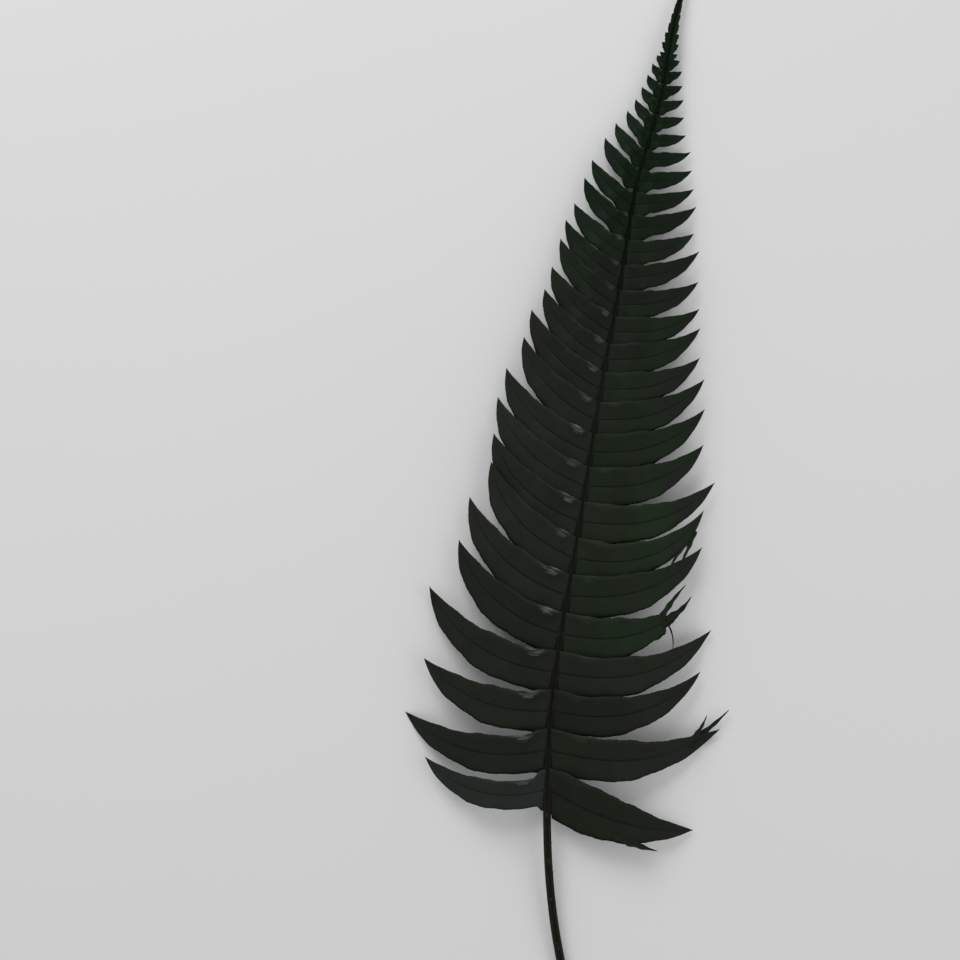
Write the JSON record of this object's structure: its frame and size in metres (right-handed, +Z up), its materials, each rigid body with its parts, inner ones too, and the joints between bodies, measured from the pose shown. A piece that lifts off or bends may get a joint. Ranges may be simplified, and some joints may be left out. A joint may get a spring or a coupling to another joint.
{
  "type": "preserved fern frond",
  "caption": "Dried and dyed fern frond lying on its back: slim stipe, long grooved rachis, overlapping sickle-shaped pinnae on both sides and a narrow toothed tip.",
  "frame": {"origin": "on the surface that the frond lies on, under the cut end of the stipe, at the middle of the flat spot that rests there", "axes": "+Z up, away from the surface, the side that the frond's upper face looks to; +Y from the cut end towards the tip; +X to the right seen from above with the tip away"},
  "size_m": [0.1659, 0.5834, 0.0272],
  "materials": {
    "preserved_green": "matte, near-black dyed green with a faint waxy sheen"
  },
  "bodies": {
    "root": {"frond": "preserved_green"}
  },
  "joints": []
}
